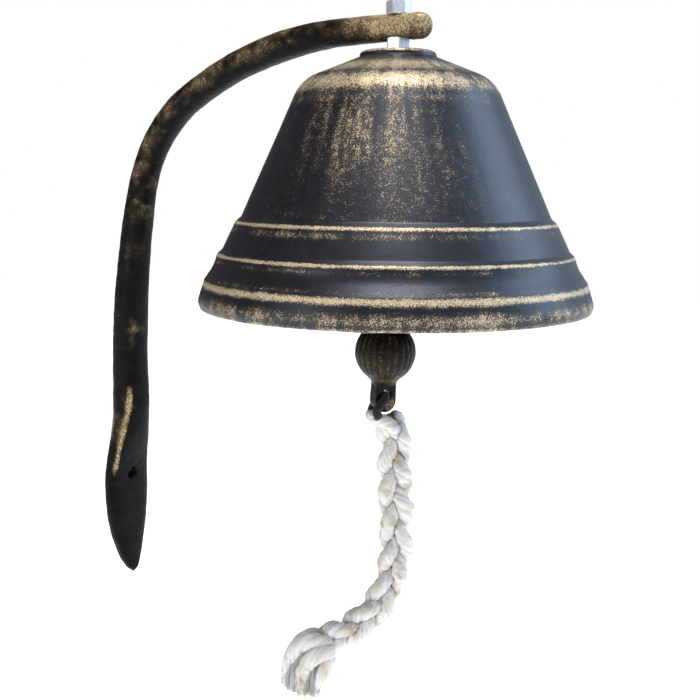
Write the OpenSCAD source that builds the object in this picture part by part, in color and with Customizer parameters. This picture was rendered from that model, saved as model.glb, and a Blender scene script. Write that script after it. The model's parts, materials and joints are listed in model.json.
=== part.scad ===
// Wall mounted bell: a cast arm screwed to a wall, an open mouthed bell bolted under
// its tip, and a clapper with a plaited pull rope that swing inside and below the bell.
// Origin: the screw hole at the wall face. +Z up, the wall is the plane Y = 0, and the
// arm stands out along -Y.

/* [Arm] */
// Distance from the wall to the bell's axis
reach = 150; // [146:0.5:156]
// Height at which the arm starts to lean out from the wall
stem_top_z = 45; // [42:0.2:52]
// Diameter of the stem against the wall
stem_d = 15.2; // [14:0.1:16]
// Diameter of the arm at its tip
tip_d = 9.2; // [8.8:0.1:10]
// How far the arm runs on past the bolt
tip_overhang = 13.5; // [12:0.5:16]
// Width of the leaf that carries the screw hole
leaf_w = 23.6; // [20:0.2:26]
// Thickness of the leaf
leaf_t = 7; // [6.4:0.1:8]
// Length of the leaf below the screw hole
leaf_drop = 47.6; // [44:0.2:52]
// Diameter of the screw hole
screw_d = 6; // [4.6:0.1:6.6]

/* [Bell] */
// Diameter across the rim
rim_d = 144.5; // [142:0.5:148]
// Height of the bell with its boss
bell_h = 92.2; // [91:0.1:94]
// Wall thickness
wall_t = 3.6; // [3.2:0.1:4]
// Diameter of the boss on the crown
boss_d = 27.8; // [26:0.2:30]
// Diameter of the hole in the crown
crown_hole_d = 5.5; // [5.3:0.1:6]

/* [Bolt and nuts] */
// Bolt diameter
bolt_d = 4.9; // [4.8:0.05:4.95]
// Nut size across its flats
nut_af = 8; // [7.8:0.1:8.2]
// Nut height
nut_h = 4.7; // [4.5:0.1:4.8]
// Washer diameter
washer_d = 10; // [9:0.5:12]
// Washer thickness
washer_t = 1; // [0.8:0.1:1]

/* [Clapper] */
// Diameter of the ball
ball_d = 22.9; // [21:0.1:24]
// Distance from the clapper's pivot to the middle of the ball
clapper_l = 76.2; // [74:0.2:78]
// Diameter of the wire in the bolt's eye and of the clapper's eye
eye_wire_d = 3.5; // [3.2:0.1:3.6]
// Diameter of the wire in the link
link_wire_d = 2.6; // [2.4:0.1:2.7]
// Angle at which the clapper's swing plane is turned from the wall's
hang_yaw = -29; // [-45:1:0]
// Angle at which the clapper hangs off the vertical
hang_lean = 2.6; // [0:0.2:4]

/* [Rope] */
// Diameter of the plaited rope
rope_d = 12; // [10:0.2:13]
// Diameter of one strand of the rope
strand_d = 3.6; // [3:0.1:3.8]

/* [Hidden] */

$fn = 64;
iron = [0.09, 0.08, 0.07];
bronze = [0.2, 0.17, 0.12];
zinc = [0.8, 0.82, 0.83];
cotton = [0.9, 0.87, 0.8];

// Arm: straight stem, then three bends of [radius, turn], then straight to the bolt
bends = [[350, 13.7], [62, 48.3], [174, 28]];
bend_steps = [6, 11, 10];
stem_r = stem_d / 2;
tip_r = tip_d / 2;
stem_sink = 0.2;
// Fraction of the stem's radius left at each distance past the stem's top
taper = [[0, 1], [31, 0.96], [53, 0.89], [82, 0.79], [94, 0.75], [190, 0.735], [216, 0.66]];
arm_sides = 20;
arm_last = bend_start(len(bends));
arm_z = arm_last[1];

// Leaf: widest just below the screw hole, running into the stem above it, and its
// lower end lifting off the wall
leaf_wide_z = -5;
leaf_top_z = 33;
leaf_sink = 1.3;
leaf_lift = 4.4;
leaf_bow = 0.8;
leaf_tip_w = 2.8;

// Bolt stack, from the arm downwards
seat_d = 11;
top_seat_z = arm_z + tip_r - 0.25;
under_seat_z = arm_z - tip_r + 0.85;
boss_top_z = under_seat_z - nut_h;
rim_z = boss_top_z - bell_h;
crown_t = 6.6;
crown_inside_z = boss_top_z - crown_t;
inner_nut_z = crown_inside_z - washer_t - nut_h;

// Eyes and link, each hanging on the wire above it
play = 0.3;
eye_r = 5;
bolt_eye_z = inner_nut_z - 0.6 - eye_r - eye_wire_d / 2;
bolt_wire_z = bolt_eye_z - eye_r;
link_h = 11.6;
link_half_w = 4.2;
link_top_z = bolt_wire_z + (eye_wire_d + link_wire_d) / 2 + play;
pivot_z = link_top_z - link_h;
clapper_eye_r = 4.6;
clapper_eye_z = (eye_wire_d + link_wire_d) / 2 + play - clapper_eye_r;

// Lug under the ball, where the rope is tied
lug_w = 8.6;
lug_t = 5.2;
lug_hole_d = 4.8;
lug_hole_z = -clapper_l - 16.4;
lug_end_z = lug_hole_z - 1.9;

// Rope's first strand, a squared ring through the lug's hole
loop_half_w = 5;
loop_half_h = 4.6;
loop_lean = 20;

// The rope's route, from under the loop to the knot
rope_route = [
    [-2.3, -150, 47.2], [-1.6, -150.9, 44], [-1, -151.6, 39.8], [-0.7, -151.9, 35.5],
    [-0.6, -151.9, 31], [-0.6, -151.7, 26], [-0.5, -151.8, 20.5], [-0.3, -152.1, 15],
    [-0.2, -152.3, 9.5], [-0.1, -152.4, 4], [0.1, -152.7, -1.5], [0.1, -152.7, -7],
    [-0.5, -151.9, -12.5], [-1.2, -151, -18], [-2.2, -149.6, -23.2], [-3.4, -147.9, -28],
    [-5.3, -145.2, -32.4], [-7.6, -141.9, -36.2], [-10.2, -138.4, -39.4],
    [-13.1, -134.3, -42], [-16.1, -130.1, -44.2]
];
rope_sides = 10;
knot_mid = [-19.5, -125.3, -48];
knot_r = 8.2;
tassel_top = [-20.9, -123.8, -53];
tassel_end = [-21.8, -122.5, -66.5];
tassel_r = 7.6;

// ---- Functions ----

// Where bend i starts: [y, z, lean from the vertical]
function bend_start(i) =
    i == 0 ? [stem_sink - stem_r, stem_top_z, 0]
           : let (p = bend_start(i - 1), r = bends[i - 1][0], a = bends[i - 1][1])
             [p[0] - r * (cos(p[2]) - cos(p[2] + a)),
              p[1] + r * (sin(p[2] + a) - sin(p[2])),
              p[2] + a];

// A point on bend i, a fraction f of the way round
function bend_point(i, f) =
    let (p = bend_start(i), r = bends[i][0], a = f * bends[i][1])
    [p[0] - r * (cos(p[2]) - cos(p[2] + a)),
     p[1] + r * (sin(p[2] + a) - sin(p[2])),
     p[2] + a];

function bend_len(i) = bends[i][0] * bends[i][1] * PI / 180;
function bends_before(i) = i == 0 ? 0 : bends_before(i - 1) + bend_len(i - 1);
straight_len = reach + arm_last[0];
bar_len = bends_before(len(bends)) + straight_len;

// Radius of the bar at distance s past the stem's top
function bar_r(s) = stem_r * lookup(s, concat(taper, [[bar_len, tip_r / stem_r]]));

function ease(t) = (1 - cos(180 * min(1, max(0, t)))) / 2;
function leaf_up(z) = ease((z - leaf_wide_z) / (leaf_top_z - leaf_wide_z));
function leaf_down(z) = min(1, max(0, (leaf_wide_z - z) / (leaf_drop + leaf_wide_z)));
function leaf_half_w(z) =
    max(leaf_tip_w / 2, leaf_w / 2 * pow(cos(90 * leaf_down(z)), 0.6))
    + (stem_r - leaf_w / 2) * leaf_up(z);
function leaf_back(z) = leaf_sink + (stem_sink - leaf_sink) * leaf_up(z)
    - (leaf_sink + leaf_lift) * pow(leaf_down(z), 4);
function leaf_front(z) = -leaf_t - leaf_bow * pow(leaf_down(z), 2)
    + (stem_sink - stem_d + leaf_t) * leaf_up(z);

// A station: [y, z, lean, half width, half thickness, squareness]
function leaf_station(z, trim = 1) =
    [(leaf_back(z) + leaf_front(z)) / 2, z, 0, leaf_half_w(z) * trim,
     (leaf_back(z) - leaf_front(z)) / 2 * trim, 2.8 - 0.5 * leaf_up(z)];

stations = concat(
    [leaf_station(-leaf_drop, 0.35), leaf_station(0.8 - leaf_drop, 0.75),
     leaf_station(2.2 - leaf_drop)],
    [for (k = [1:9]) leaf_station(2.2 - leaf_drop + k * (leaf_drop - 2.2 + leaf_wide_z) / 9)],
    [for (k = [1:7]) leaf_station(leaf_wide_z + k * (leaf_top_z - leaf_wide_z) / 7)],
    [for (i = [0:len(bends) - 1]) for (k = [0:bend_steps[i] - 1])
        let (f = k / bend_steps[i], s = bends_before(i) + f * bend_len(i))
        concat(bend_point(i, f), [bar_r(s), bar_r(s), 2.3])],
    [for (k = [0:3]) let (s = k / 3 * straight_len)
        [arm_last[0] - s, arm_z, 90, bar_r(bar_len - straight_len + s),
         bar_r(bar_len - straight_len + s), 2.3 + 0.2 * k]],
    [for (a = [0:22.5:67.5]) let (e = tip_overhang - tip_r + tip_r * sin(a))
        [-reach - e, arm_z, 90, tip_r * cos(a), tip_r * cos(a), 2.7]],
    [[-reach - tip_overhang, arm_z, 90, tip_r * 0.12, tip_r * 0.12, 2]]
);

function power(v, e) = sign(v) * pow(abs(v), e);

// One ring of points round a station
function section(s) = [for (k = [0:arm_sides - 1])
    let (a = 360 * k / arm_sides, u = s[3] * power(cos(a), 2 / s[5]),
         v = s[4] * power(sin(a), 2 / s[5]))
    [u, s[0] - v * cos(s[2]), s[1] - v * sin(s[2])]];

// Faces of a skin over rings of n points each, closed with a cap at both ends
function skin_faces(rings, n) = concat(
    [[for (k = [0:n - 1]) k]],
    [for (i = [0:rings - 2]) for (k = [0:n - 1])
        each [[i * n + k, (i + 1) * n + k, i * n + (k + 1) % n],
              [i * n + (k + 1) % n, (i + 1) * n + k, (i + 1) * n + (k + 1) % n]]],
    [[for (k = [n - 1:-1:0]) (rings - 1) * n + k]]
);

// The same for rings that run round in a closed loop
function torus_faces(rings, n) = [for (i = [0:rings - 1]) for (k = [0:n - 1])
    let (j = (i + 1) % rings, m = (k + 1) % n)
    each [[i * n + k, j * n + k, i * n + m], [i * n + m, j * n + k, j * n + m]]];

function unit(v) = v / norm(v);

// Direction of a route at point i
function heading(route, i) = unit(route[min(i + 1, len(route) - 1)] - route[max(i - 1, 0)]);

// A ring of radius r round point p, square to direction d
function tube_ring(p, d, r, n) =
    let (u = unit(cross(d, [0.58, -0.81, 0.05])), v = cross(d, u))
    [for (k = [0:n - 1]) p + r * (cos(360 * k / n) * u + sin(360 * k / n) * v)];

// Corner b of the outline a, b, c rounded to radius r, as n + 1 points
function round_corner(a, b, c, r, n = 8) =
    let (u = unit(a - b), w = unit(c - b), half = acos(u * w) / 2, mid = unit(u + w),
         o = b + mid * r / sin(half), from = b + u * r / tan(half) - o,
         turn = sign(from[0] * (b - o)[1] - from[1] * (b - o)[0]) * (180 - 2 * half))
    [for (k = [0:n]) let (t = turn * k / n)
        o + [from[0] * cos(t) - from[1] * sin(t), from[0] * sin(t) + from[1] * cos(t)]];

// ---- Bell outline, as [radius, height above the rim] ----

rim_r = rim_d / 2;
boss_r = boss_d / 2;
boss_foot = [boss_r, bell_h - 2.2];
shoulder = [rim_r - 37.4, bell_h - 10.5];
waist = [rim_r - 15.7, 33];
high_ridge = [rim_r - 13.7, 31.4];
low_neck = [rim_r - 8.8, 21.3];
low_ridge = [rim_r - 7.1, 19.8];
cove = [rim_r - 5.8, 15.6];
lip_ridge = [rim_r - 2.3, 10.6];
lip_bulge = [rim_r + 0.3, 2.6];
lip_foot = [rim_r - 0.7, 0];
mouth = [rim_r - 4.5, 0];

bell_outside = concat(
    [[crown_hole_d / 2, bell_h]],
    round_corner([0, bell_h], [boss_r, bell_h], boss_foot, 1.7, 5),
    [boss_foot],
    round_corner(boss_foot, shoulder, waist, 14, 9),
    [waist],
    round_corner(waist, high_ridge, low_neck, 0.7, 4),
    [low_neck],
    round_corner(low_neck, low_ridge, cove, 0.7, 4),
    round_corner(low_ridge, cove, lip_ridge, 16, 5),
    round_corner(cove, lip_ridge, lip_bulge, 1.5, 3),
    round_corner(lip_ridge, lip_bulge, lip_foot, 3.5, 5),
    round_corner(lip_bulge, lip_foot, mouth, 0.6, 3)
);
bell_inside = concat(
    round_corner(lip_foot, mouth, [mouth[0] - 1.6, 7], 0.8, 3),
    [[mouth[0] - 2.6, 8], [low_neck[0] - wall_t - 0.4, low_neck[1] - 2],
     [waist[0] - wall_t * 1.1, waist[1]]],
    round_corner(waist - [wall_t * 1.1, 0], shoulder - [2.5, 3.3],
                 [boss_r + 0.2, bell_h - crown_t], 10, 7),
    [[boss_r + 0.2, bell_h - crown_t], [crown_hole_d / 2, bell_h - crown_t]]
);

// ---- Helpers ----

module on_bell_axis(z) {
    translate([0, -reach, z]) children();
}

// The frame in which the eyes, the link and the clapper are drawn: X is the swing plane
module hanging(z) {
    on_bell_axis(z) rotate([0, 0, hang_yaw]) children();
}

module clapper_frame() {
    hanging(pivot_z) rotate([0, hang_lean, 0]) children();
}

// A ring of wire standing in the XZ plane
module wire_eye(r, wire_d) {
    rotate([90, 0, 0]) rotate_extrude() translate([r, 0]) circle(d = wire_d, $fn = 32);
}

module hex_nut(turn) {
    corner_r = nut_af / 2 / cos(30);
    bevel = corner_r - nut_af / 2;
    rotate([0, 0, turn]) difference() {
        intersection() {
            cylinder(r = corner_r, h = nut_h, $fn = 6);
            rotate_extrude() polygon([
                [0, 0], [nut_af / 2, 0], [corner_r + 0.01, bevel * 0.6],
                [corner_r + 0.01, nut_h - bevel * 0.6], [nut_af / 2, nut_h], [0, nut_h]
            ]);
        }
        translate([0, 0, -1]) cylinder(d = bolt_d + 0.1, h = nut_h + 2);
    }
}

module swept_tube(route, d, n) {
    rings = [for (i = [0:len(route) - 1])
        each tube_ring(route[i], heading(route, i), d / 2, n)];
    polyhedron(rings, skin_faces(len(route), n), convexity = 6);
}

// ---- Sub-parts ----

module wall_bracket() {
    color(iron) difference() {
        polyhedron([for (s = stations) each section(s)],
                   skin_faces(len(stations), arm_sides), convexity = 8);
        // Flat back against the wall
        translate([-leaf_w, 0, -leaf_drop - 5]) cube([2 * leaf_w, 10, stem_top_z + leaf_drop + 40]);
        // Screw hole
        translate([0, 5, 0]) rotate([90, 0, 0]) cylinder(d = screw_d, h = leaf_t + 10);
        // Bolt hole and the seats of the nuts
        on_bell_axis(arm_z - 10) cylinder(d = crown_hole_d, h = 20);
        on_bell_axis(top_seat_z) cylinder(d = seat_d, h = 5);
        on_bell_axis(under_seat_z - 5) cylinder(d = seat_d, h = 5);
    }
}

module bell() {
    color(iron) on_bell_axis(rim_z) rotate_extrude($fn = 120)
        polygon(concat(bell_outside, bell_inside));
}

module hanger_bolt() {
    color(zinc) {
        on_bell_axis(bolt_eye_z + eye_r)
            cylinder(d = bolt_d, h = top_seat_z + nut_h - 0.3 - bolt_eye_z - eye_r);
        hanging(bolt_eye_z) wire_eye(eye_r, eye_wire_d);
    }
}

module top_nut() {
    color(zinc) on_bell_axis(top_seat_z) hex_nut(35.5);
}

module arm_nut() {
    color(zinc) on_bell_axis(boss_top_z) hex_nut(5.5);
}

module inner_washer() {
    color(zinc) on_bell_axis(crown_inside_z - washer_t) difference() {
        cylinder(d = washer_d, h = washer_t);
        translate([0, 0, -1]) cylinder(d = bolt_d + 0.4, h = washer_t + 2);
    }
}

module inner_nut() {
    color(zinc) on_bell_axis(inner_nut_z) hex_nut(20);
}

module clapper_link() {
    straight = link_h - 2 * link_half_w;
    color(zinc) hanging(link_top_z - link_h / 2) rotate([0, 0, 90]) {
        for (end = [0, 180])
            rotate([0, end, 0]) translate([0, 0, straight / 2]) rotate([90, 0, 0])
                rotate_extrude(angle = 180) translate([link_half_w, 0])
                    circle(d = link_wire_d, $fn = 32);
        for (side = [-1, 1])
            translate([side * link_half_w, 0, -straight / 2])
                cylinder(d = link_wire_d, h = straight, $fn = 32);
    }
}

module clapper() {
    shank_top = clapper_eye_z - clapper_eye_r;
    color(bronze) clapper_frame() difference() {
        union() {
            translate([0, 0, clapper_eye_z]) wire_eye(clapper_eye_r, eye_wire_d);
            translate([0, 0, -clapper_l]) cylinder(r1 = 4.4, r2 = 3, h = clapper_l + shank_top);
            translate([0, 0, -clapper_l]) sphere(d = ball_d);
            translate([0, 0, -clapper_l - 12.2]) cylinder(r1 = 4.2, r2 = 8.2, h = 4);
            translate([-lug_w / 2, -lug_t / 2, lug_end_z])
                cube([lug_w, lug_t, -clapper_l - 8 - lug_end_z]);
            translate([0, lug_t / 2, lug_end_z]) rotate([90, 0, 0]) cylinder(d = lug_w, h = lug_t);
        }
        translate([0, lug_t, lug_hole_z]) rotate([90, 0, 0]) cylinder(d = lug_hole_d, h = 2 * lug_t);
    }
}

module rope_loop() {
    count = 28;
    route = [for (k = [0:count - 1]) let (a = 360 * k / count)
        [0, loop_half_w * power(cos(a), 2 / 3), -loop_half_h + loop_half_h * power(sin(a), 2 / 3)]];
    rings = [for (k = [0:count - 1])
        let (d = unit(route[(k + 1) % count] - route[(k + count - 1) % count]),
             out = cross(d, [1, 0, 0]))
        for (j = [0:9]) route[k] + strand_d / 2 * (cos(36 * j) * [1, 0, 0] + sin(36 * j) * out)];
    color(cotton) clapper_frame() translate([0, 0, lug_hole_z]) rotate([0, loop_lean, 0])
        polyhedron(rings, torus_faces(count, 10), convexity = 4);
}

module pull_rope() {
    color(cotton) swept_tube(rope_route, rope_d, rope_sides);
}

module rope_knot() {
    color(cotton) translate(knot_mid) sphere(r = knot_r);
}

module rope_tassel() {
    color(cotton) swept_tube([for (k = [0:3]) tassel_top + (tassel_end - tassel_top) * k / 3],
                             2 * tassel_r, 12);
}

wall_bracket();
bell();
hanger_bolt();
top_nut();
arm_nut();
inner_washer();
inner_nut();
clapper_link();
clapper();
rope_loop();
pull_rope();
rope_knot();
rope_tassel();
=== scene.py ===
"""Looks of the wall mounted bell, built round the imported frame.

Everything is made in millimetres in the row frame (origin at the wall screw's hole, +Z up,
the wall at Y = 0, the object towards -Y) and scaled to metres when its mesh is made.
"""
import json
import math
import random

import bmesh
import bpy
import numpy as np
from mathutils import Matrix, Vector, kdtree, noise


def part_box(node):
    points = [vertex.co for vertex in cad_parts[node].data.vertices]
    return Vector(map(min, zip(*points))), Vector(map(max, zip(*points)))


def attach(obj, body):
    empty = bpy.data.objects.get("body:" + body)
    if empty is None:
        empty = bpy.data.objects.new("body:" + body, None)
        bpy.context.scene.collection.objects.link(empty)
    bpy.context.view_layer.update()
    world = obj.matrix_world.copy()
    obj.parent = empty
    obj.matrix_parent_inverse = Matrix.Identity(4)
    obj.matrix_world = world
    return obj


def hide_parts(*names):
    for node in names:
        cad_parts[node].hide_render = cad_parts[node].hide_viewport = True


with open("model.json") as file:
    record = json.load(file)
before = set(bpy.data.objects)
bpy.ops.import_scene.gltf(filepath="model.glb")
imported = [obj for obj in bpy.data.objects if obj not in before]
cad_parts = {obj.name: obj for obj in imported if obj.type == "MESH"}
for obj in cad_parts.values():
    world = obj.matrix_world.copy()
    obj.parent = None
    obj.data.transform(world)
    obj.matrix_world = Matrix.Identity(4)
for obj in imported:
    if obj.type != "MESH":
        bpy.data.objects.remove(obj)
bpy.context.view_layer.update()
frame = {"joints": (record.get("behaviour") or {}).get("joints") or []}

MM = 0.001


# ---- places from the frame

def box_mm(node):
    low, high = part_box(node)
    return np.array(low) / MM, np.array(high) / MM


def hinge(name):
    """A joint's place in mm and its axis."""
    found = next(joint for joint in frame["joints"] if joint["name"] == name)
    return np.array(found["pos_m"]) / MM, np.array(found["axis"])


# Swing plane: SWING lies in it, PIN is square to it and along the clapper's hinge
LINK_PIN, SWING = hinge("link_swing")
CLAPPER_PIN, PIN = hinge("clapper_swing")
ROPE_PIN, _ = hinge("rope_swing")
REACH = -CLAPPER_PIN[1]
BELL_LOW, BELL_HIGH = box_mm("bell")
RIM_Z = BELL_LOW[2]
BELL_H = BELL_HIGH[2] - BELL_LOW[2]
RIM_R = (BELL_HIGH[0] - BELL_LOW[0]) / 2
AXIS = np.array([0.0, -REACH, 0.0])
HANG_LEAN = math.radians(2.6)
UP = np.array([0.0, 0.0, 1.0])


# ---- camera

CAMERA_AT = (-0.3327, -0.3675, 0.1336)
CAMERA_AZIMUTH = math.radians(-54.47)
CAMERA_DOWN = math.radians(8.93)
CAMERA_ROLL = math.radians(0.52)
CAMERA_LENS = 55.13

TO_CAMERA = np.array([math.sin(CAMERA_AZIMUTH), -math.cos(CAMERA_AZIMUTH), 0.0])
IMAGE_RIGHT = np.array([math.cos(CAMERA_AZIMUTH), math.sin(CAMERA_AZIMUTH), 0.0])


def make_camera():
    data = bpy.data.cameras.new("camera")
    data.sensor_width = 36
    data.lens = CAMERA_LENS
    data.clip_start = 0.01
    data.clip_end = 30
    camera = bpy.data.objects.new("camera", data)
    bpy.context.scene.collection.objects.link(camera)
    back = Vector(TO_CAMERA) * math.cos(CAMERA_DOWN) + Vector((0, 0, math.sin(CAMERA_DOWN)))
    right = Vector(IMAGE_RIGHT)
    turn = Matrix((right, back.cross(right), back)).transposed()
    turn @= Matrix.Rotation(CAMERA_ROLL, 3, "Z")
    camera.matrix_world = Matrix.Translation(CAMERA_AT) @ turn.to_4x4()
    bpy.context.scene.camera = camera


make_camera()


# ---- mesh helpers

def ring_faces(rows, columns, closed=False):
    """Quads over rows of points, each row a ring of that many columns.

    Closed, the last row meets the first. Otherwise both of them get a cap."""
    faces = []
    for i in range(rows if closed else rows - 1):
        here, after = i * columns, (i + 1) % rows * columns
        for k in range(columns):
            m = (k + 1) % columns
            faces.append((here + k, here + m, after + m, after + k))
    if not closed:
        faces.append(tuple(range(columns - 1, -1, -1)))
        faces.append(tuple(range((rows - 1) * columns, rows * columns)))
    return faces


def unit(vectors):
    return vectors / np.linalg.norm(vectors, axis=-1, keepdims=True)


def clamp(values):
    return np.clip(values, 0, 1)


def hump(value, width):
    """1 where the value is 0, falling to nothing over about twice the width."""
    return np.exp(-(value / width) ** 2)


def signed_power(value, exponent):
    return np.sign(value) * np.abs(value) ** exponent


def angles(count):
    return [math.tau * k / count for k in range(count)]


def ring(centre, radius, first, second, count):
    """Points round a centre, from the first direction towards the second."""
    return [centre + radius * (math.cos(a) * first + math.sin(a) * second)
            for a in angles(count)]


def make_object(name, points, faces):
    """A mesh object from points in millimetres."""
    mesh = bpy.data.meshes.new(name)
    mesh.from_pydata((np.asarray(points, float) * MM).tolist(), [], faces)
    work = bmesh.new()
    work.from_mesh(mesh)
    bmesh.ops.recalc_face_normals(work, faces=work.faces)
    work.to_mesh(mesh)
    work.free()
    mesh.polygons.foreach_set("use_smooth", [True] * len(mesh.polygons))
    made = bpy.data.objects.new(name, mesh)
    bpy.context.scene.collection.objects.link(made)
    return made


def settle(made, body, slot, material, *replaced):
    """The piece rides on its body, takes its finish and stands for its CAD nodes."""
    made.data.materials.clear()
    made.data.materials.append(material)
    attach(made, body)
    if replaced:
        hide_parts(*replaced)
    return made


def apply_modifiers(made):
    """Replaces the object's mesh with what its modifiers make of it."""
    bpy.context.view_layer.update()
    graph = bpy.context.evaluated_depsgraph_get()
    mesh = bpy.data.meshes.new_from_object(made.evaluated_get(graph))
    made.modifiers.clear()
    old = made.data
    made.data = mesh
    bpy.data.meshes.remove(old)


def vertex_values(made, key):
    values = np.zeros(len(made.data.vertices) * 3, np.float32)
    made.data.vertices.foreach_get(key, values)
    return values.reshape(-1, 3).astype(float)


def coordinates(made):
    return vertex_values(made, "co") / MM


def normals(made):
    return vertex_values(made, "normal")


def set_coordinates(made, points):
    made.data.vertices.foreach_set("co", (points * MM).astype(np.float32).ravel())
    made.data.update()


def set_attribute(made, key, values):
    """Gives each point of the mesh one number or three, for its material to read."""
    values = np.asarray(values, np.float32)
    kind, field = ("FLOAT", "value") if values.ndim == 1 else ("FLOAT_VECTOR", "vector")
    layer = made.data.attributes.new(key, kind, "POINT")
    layer.data.foreach_set(field, values.ravel())


def wobble(points, size, seed=0.0):
    """Smooth noise, about -1 to 1, at each point; size is its scale in millimetres."""
    shift = Vector((seed, seed * 1.7, -seed))
    return np.array([noise.noise(Vector(p) / size + shift) for p in points])


def roughen(made, layers):
    """Moves each point along its normal by layers of (size, amount) of noise."""
    points = coordinates(made)
    push = sum(amount * wobble(points, size, 3.1 * i) for i, (size, amount) in enumerate(layers))
    set_coordinates(made, points + normals(made) * push[:, None])


def weld(made, others):
    """Joins the other objects into the first one."""
    work = bmesh.new()
    work.from_mesh(made.data)
    for other in others:
        work.from_mesh(other.data)
        bpy.data.objects.remove(other)
    work.to_mesh(made.data)
    work.free()
    return made


def cut(made, cutter):
    change = made.modifiers.new("cut", "BOOLEAN")
    change.operation = "DIFFERENCE"
    change.solver = "EXACT"
    change.object = cutter
    apply_modifiers(made)
    bpy.data.objects.remove(cutter)


def remesh(made, voxel_mm, smooth_passes):
    """One skin over all that was welded, with its joints blended."""
    change = made.modifiers.new("remesh", "REMESH")
    change.mode = "VOXEL"
    change.voxel_size = voxel_mm * MM
    change.use_smooth_shade = True
    blend = made.modifiers.new("smooth", "SMOOTH")
    blend.factor = 0.5
    blend.iterations = smooth_passes
    apply_modifiers(made)


def sides(direction):
    """Two unit vectors square to a direction and to each other."""
    direction = unit(direction)
    spare = UP if abs(direction[2]) < 0.9 else np.array([1.0, 0.0, 0.0])
    first = unit(np.cross(spare, direction))
    return first, np.cross(direction, first)


def lathe(name, outline, centre, steps, axis=UP, closed=False):
    """Turns an outline of (radius, height) about an axis through centre."""
    first, second = sides(axis)
    rows = []
    for radius, height in outline:
        rows += ring(centre + axis * height, radius, first, second, steps)
    return make_object(name, rows, ring_faces(len(outline), steps, closed))


def rounded(corners, arc_steps=6):
    """An outline with its corners rounded: each corner is (x, y, radius)."""
    made = []
    count = len(corners)
    for i, (x, y, radius) in enumerate(corners):
        if radius == 0 or i == 0 or i == count - 1:
            made.append((x, y))
            continue
        here = np.array([x, y])
        u, w = unit(corners[i - 1][:2] - here), unit(corners[i + 1][:2] - here)
        half = math.acos(np.clip(u @ w, -1, 1)) / 2
        middle = here + unit(u + w) * radius / math.sin(half)
        start = here + u * radius / math.tan(half) - middle
        across = np.array([-start[1], start[0]])
        turn = math.copysign(math.pi - 2 * half, across @ (here - middle))
        for k in range(arc_steps + 1):
            t = turn * k / arc_steps
            made.append(tuple(middle + start * math.cos(t) + across * math.sin(t)))
    return made


def fine(outline, step):
    """The same outline with points no further apart than step."""
    made = [outline[0]]
    for (x0, y0), (x1, y1) in zip(outline, outline[1:]):
        parts = max(1, math.ceil(math.hypot(x1 - x0, y1 - y0) / step))
        for k in range(1, parts + 1):
            made.append((x0 + (x1 - x0) * k / parts, y0 + (y1 - y0) * k / parts))
    return made


def smooth_path(points, step):
    """A smooth curve through the points, resampled about every step."""
    points = np.array(points, float)
    ends = [2 * points[0] - points[1], *points, 2 * points[-1] - points[-2]]
    t = np.arange(0, 1, 1 / 12)[:, None]
    spans = [0.5 * (2 * p1 + (p2 - p0) * t + (2 * p0 - 5 * p1 + 4 * p2 - p3) * t * t
                    + (3 * p1 - p0 - 3 * p2 + p3) * t ** 3)
             for p0, p1, p2, p3 in zip(ends, ends[1:], ends[2:], ends[3:])]
    dense = np.vstack([*spans, points[-1]])
    along = distances(dense)
    count = max(3, int(along[-1] / step) + 1)
    at = np.linspace(0, along[-1], count)
    return np.column_stack([np.interp(at, along, values) for values in dense.T]), at


def distances(path):
    """How far along the path each of its points lies."""
    return np.concatenate([[0], np.cumsum(np.linalg.norm(np.diff(path, axis=0), axis=1))])


def path_frames(path, facing):
    """Tangent, sideways and facing directions along a path; facing stays the nearest to it."""
    tangent = unit(np.gradient(path, axis=0))
    side = unit(np.cross(tangent, facing))
    return tangent, side, np.cross(side, tangent)


# ---- materials

class Nodes:
    """The nodes of a material or of the world. Most methods add one and return its output."""

    def __init__(self, owner):
        owner.use_nodes = True
        self.owner, self.tree = owner, owner.node_tree

    def fill(self, node, inputs):
        """Sets numbers, vectors and colours in a node's inputs, or links other nodes' outputs."""
        for key, value in inputs.items():
            socket = node.inputs[key]
            if isinstance(value, bpy.types.NodeSocket):
                self.tree.links.new(value, socket)
            elif isinstance(value, tuple) and len(value) < len(socket.default_value):
                socket.default_value = (*value, 1)
            else:
                socket.default_value = value
        return self.owner

    def finish(self, name, inputs):
        """Fills the inputs of the node that is there from the start, and returns the owner."""
        return self.fill(self.tree.nodes[name], inputs)

    def add(self, kind, output, inputs, **settings):
        node = self.tree.nodes.new("ShaderNode" + kind)
        for key, value in settings.items():
            setattr(node, key, value)
        self.fill(node, inputs)
        return node.outputs[output]

    def attribute(self, key, output="Fac"):
        return self.add("Attribute", output, {}, attribute_name=key)

    def noise(self, size_mm, detail=3.0, rough=0.55, stretch=(1, 1, 1), source=None):
        """A noise texture in object coordinates; size_mm is its feature size."""
        place = source or self.add("TexCoord", "Object", {})
        place = self.add("Mapping", "Vector", {"Scale": stretch, "Vector": place})
        return self.add("TexNoise", "Fac", {"Scale": 1 / (size_mm * MM), "Detail": detail,
                                            "Roughness": rough, "Vector": place})

    def math(self, operation, *values):
        return self.add("Math", "Value", dict(enumerate(values)), operation=operation)

    def scaled(self, value, low, high, to_low=0.0, to_high=1.0):
        return self.add("MapRange", "Result", {"Value": value, "From Min": low, "From Max": high,
                                               "To Min": to_low, "To Max": to_high},
                        interpolation_type="SMOOTHSTEP")

    def mix(self, factor, a, b):
        return self.add("Mix", "Result", {"Factor": factor, "A": a, "B": b}, data_type="RGBA")

    def bump(self, height, distance_mm, strength, after=None):
        inputs = {"Height": height, "Distance": distance_mm * MM, "Strength": strength}
        return self.add("Bump", "Normal", {**inputs, "Normal": after} if after else inputs)


SHADER = "Principled BSDF"


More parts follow.
